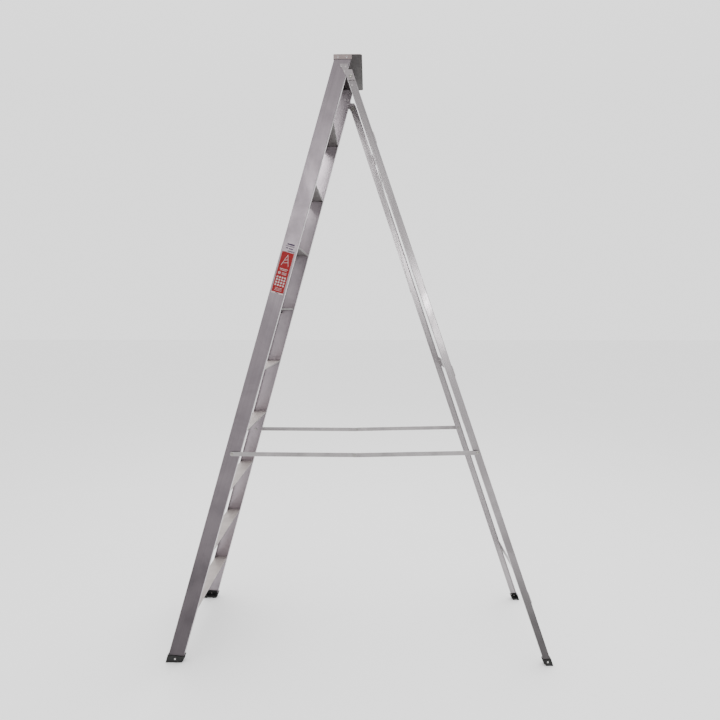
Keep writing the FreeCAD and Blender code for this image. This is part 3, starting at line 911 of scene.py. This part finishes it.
@dataclass(frozen=True)
class Sticker:
    """The red sticker on the right stile and the clear film above it, with plain bars for print."""

    geometry: Geometry
    width_mm: float = 58.0
    length_mm: float = 199.0
    # The sticker's own skin is 0.4 mm thick, so its face is 0.2 mm out from its middle
    lift_mm: float = 0.35
    film_width_mm: float = 56.0
    film_length_mm: float = 44.0
    film_rise_mm: float = 124.0
    film_lift_mm: float = 0.05
    border_mm: float = 0.8

    def build(self) -> None:
        """Dress the sticker and lay its print on it."""
        red = PrintedFilm("red_sticker_ink", "#7A0208").build()
        white = PrintedFilm("white_sticker_ink", "#A8A0A0").build()
        dark = PrintedFilm("dark_violet_sticker_ink", "#2C2036").build()
        dress(["label"], red)
        along = self.geometry.stile_along(Side.RIGHT)
        outward = self.geometry.web_outward(Side.RIGHT)
        low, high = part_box("label")
        middle = (low + high) / 2
        face = middle + outward * (self.lift_mm * MILLIMETRE)
        FlatPrint(
            "sticker_print", self.width_mm, self.length_mm, face, along, outward, self.patches(),
            strokes=self.strokes(), ground=Ink.RED,
        ).build((red, white, dark))
        film = middle + along * (self.film_rise_mm * MILLIMETRE) + outward * (self.film_lift_mm * MILLIMETRE)
        FlatPrint(
            "clear_film_print", self.film_width_mm, self.film_length_mm, film, along, outward,
            self.film_patches(),
        ).build((red, white, dark))

    def patches(self) -> list[Patch]:
        """Set out the sticker's plain patches.

        Returns:
            A border, a strip with a dark mark, bars for lines of print and a block of squares.
        """
        width, length, border = self.width_mm, self.length_mm, self.border_mm
        patches = [
            Patch(0, 0, width, border, Ink.WHITE), Patch(0, length - border, width, length, Ink.WHITE),
            Patch(0, 0, border, length, Ink.WHITE), Patch(width - border, 0, width, length, Ink.WHITE),
            Patch(0, border, width, 7, Ink.WHITE), Patch(20, 2, 36, 5.5, Ink.DARK),
            Patch(10, 117, 48, 119.5, Ink.WHITE), Patch(14, 111, 44, 113, Ink.WHITE),
            Patch(9, 93, 19, 103, Ink.WHITE), Patch(12, 96, 16, 100, Ink.RED),
        ]
        patches += [Patch(26, 92 + 4.4 * line, 48, 93.6 + 4.4 * line, Ink.WHITE) for line in range(3)]
        patches += [
            Patch(7 + 12 * column, 37 + 12.5 * row, 14.5 + 12 * column, 44.5 + 12.5 * row, Ink.WHITE)
            for row in range(4) for column in range(4)
        ]
        patches += [Patch(12, 15 + 6 * line, 46, 16.4 + 6 * line, Ink.WHITE) for line in range(3)]
        return patches

    @staticmethod
    def strokes() -> list[Stroke]:
        """Draw a generic A-shape.

        Returns:
            Two legs and two rungs.
        """
        return [
            Stroke(12.0, 134.0, 31.0, 186.0), Stroke(46.0, 134.0, 31.0, 186.0),
            Stroke(20.0, 146.0, 41.0, 152.0), Stroke(24.0, 160.0, 37.0, 165.0),
        ]

    @staticmethod
    def film_patches() -> list[Patch]:
        """Set out the clear film's print.

        Returns:
            Dark bars.
        """
        return [
            Patch(22, 1, 56, 5, Ink.DARK), Patch(12, 13, 22, 18, Ink.DARK), Patch(26, 12, 46, 17, Ink.DARK),
            Patch(8, 24, 50, 27, Ink.DARK), Patch(14, 31, 48, 38, Ink.DARK),
        ]


@dataclass(frozen=True)
class SoftBox:
    """A rectangular area light: where it hangs, the point that it faces, its size in metres and its power."""

    name: str
    place: Point
    aim: Point
    width: float
    height: float
    watts: float

    def build(self) -> None:
        """Hang the light."""
        data = bpy.data.lights.new(self.name, "AREA")
        data.shape = "RECTANGLE"
        data.size = self.width
        data.size_y = self.height
        data.energy = self.watts
        lamp = bpy.data.objects.new(self.name, data)
        bpy.context.scene.collection.objects.link(lamp)
        lamp.location = self.place
        lamp.rotation_euler = (Vector(self.aim) - Vector(self.place)).to_track_quat("-Z", "Y").to_euler()


@dataclass(frozen=True)
class Studio:
    """Pale floor, soft lights and the camera."""

    camera_place: Point = (3.0603, 0.0489, 1.6815)
    camera_yaw: float = -0.0154
    camera_pitch: float = 0.0840
    focal_in_widths: float = 599.7 / 720
    sensor_mm: float = 36.0
    floor_width: float = 60.0
    floor_gap_mm: float = 0.5
    sky_behind: float = 1.75
    sky_in_front: float = 0.6
    sky_overhead: float = 2.2
    # Those on the camera's side put a broad sheen on the stile and a small one on the leg
    lights: tuple[SoftBox, ...] = (
        SoftBox("stile_light", (3.3, -0.6, 2.95), (-0.3, -0.3, 2.2), 0.9, 0.45, 24.0),
        SoftBox("leg_light", (3.3, 0.63, 1.93), (0.265, 0.311, 1.725), 0.4, 0.6, 9.0),
        SoftBox("leg_spark", (3.3, 0.6, 2.02), (0.265, 0.311, 1.725), 0.1, 0.1, 5.0),
        SoftBox("top_light", (-1.2, 0.3, 5.0), (-0.4, 0.0, 0.0), 3.0, 3.0, 120.0),
    )

    def build(self) -> None:
        """Make the floor, the sky, the lights and the camera."""
        self.floor()
        self.sky()
        for light in self.lights:
            light.build()
        self.camera()

    def floor(self) -> None:
        """Lay a wide pale floor at the shoes' level."""
        bpy.ops.object.select_all(action="DESELECT")
        level = CAD_BOX[0][2] - self.floor_gap_mm * MILLIMETRE
        bpy.ops.mesh.primitive_plane_add(size=self.floor_width, location=(0, 0, level))
        plane = bpy.context.object
        plane.name = "studio_floor"
        paper = MouldedSurface(
            "matt_paper_floor", "#F4F4F4", "#F6F6F6", 0.9, scuff_mm=900.0, grain_mm=4.0, grain_depth_mm=0.0
        )
        plane.data.materials.append(paper.build())

    def sky(self) -> None:
        """Light the room: white, and a little darker on the camera's side, as a studio is."""
        world = bpy.data.worlds.new("studio_room")
        bpy.context.scene.world = world
        world.use_nodes = True
        tree = world.node_tree
        tree.nodes.clear()
        place = add_node(tree, "ShaderNodeTexCoord")
        parts = add_node(tree, "ShaderNodeSeparateXYZ", links={"Vector": place.outputs["Generated"]})
        forward = add_node(
            tree, "ShaderNodeMapRange", values={"From Min": -0.15, "From Max": 0.6},
            links={"Value": parts.outputs["X"]},
        )
        around = colour_ramp(
            tree, forward.outputs["Result"], [(0.0, grey(self.sky_behind)), (1.0, grey(self.sky_in_front))]
        )
        overhead = add_node(
            tree, "ShaderNodeMapRange", values={"From Min": 0.3, "From Max": 1.0},
            links={"Value": parts.outputs["Z"]},
        )
        colour = add_node(
            tree, "ShaderNodeMix", {"data_type": "RGBA"}, {COLOUR_B: grey(self.sky_overhead)},
            {MIX_SHARE: overhead.outputs["Result"], COLOUR_A: around},
        )
        light = add_node(
            tree, "ShaderNodeBackground", values={"Strength": 1.0},
            links={"Color": colour.outputs[COLOUR_RESULT]},
        )
        add_node(tree, "ShaderNodeOutputWorld", links={"Surface": light.outputs["Background"]})

    def camera(self) -> None:
        """Set the camera: level with a person's eyes, looking along -X and slightly down."""
        data = bpy.data.cameras.new("camera")
        data.sensor_width = self.sensor_mm
        data.lens = self.focal_in_widths * self.sensor_mm
        camera = bpy.data.objects.new("camera", data)
        bpy.context.scene.collection.objects.link(camera)
        camera.location = self.camera_place
        forward = Vector((
            -math.cos(self.camera_yaw) * math.cos(self.camera_pitch),
            math.sin(self.camera_yaw) * math.cos(self.camera_pitch),
            -math.sin(self.camera_pitch),
        ))
        camera.rotation_euler = forward.to_track_quat("-Z", "Y").to_euler()
        bpy.context.scene.camera = camera


def main() -> None:
    """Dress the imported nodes, add the printed pieces and set the studio."""
    geometry = Geometry()
    Metalwork(geometry).dress_all()
    Fittings().dress_all()
    Sticker(geometry).build()
    Studio().build()


if __name__ == "__main__":
    main()
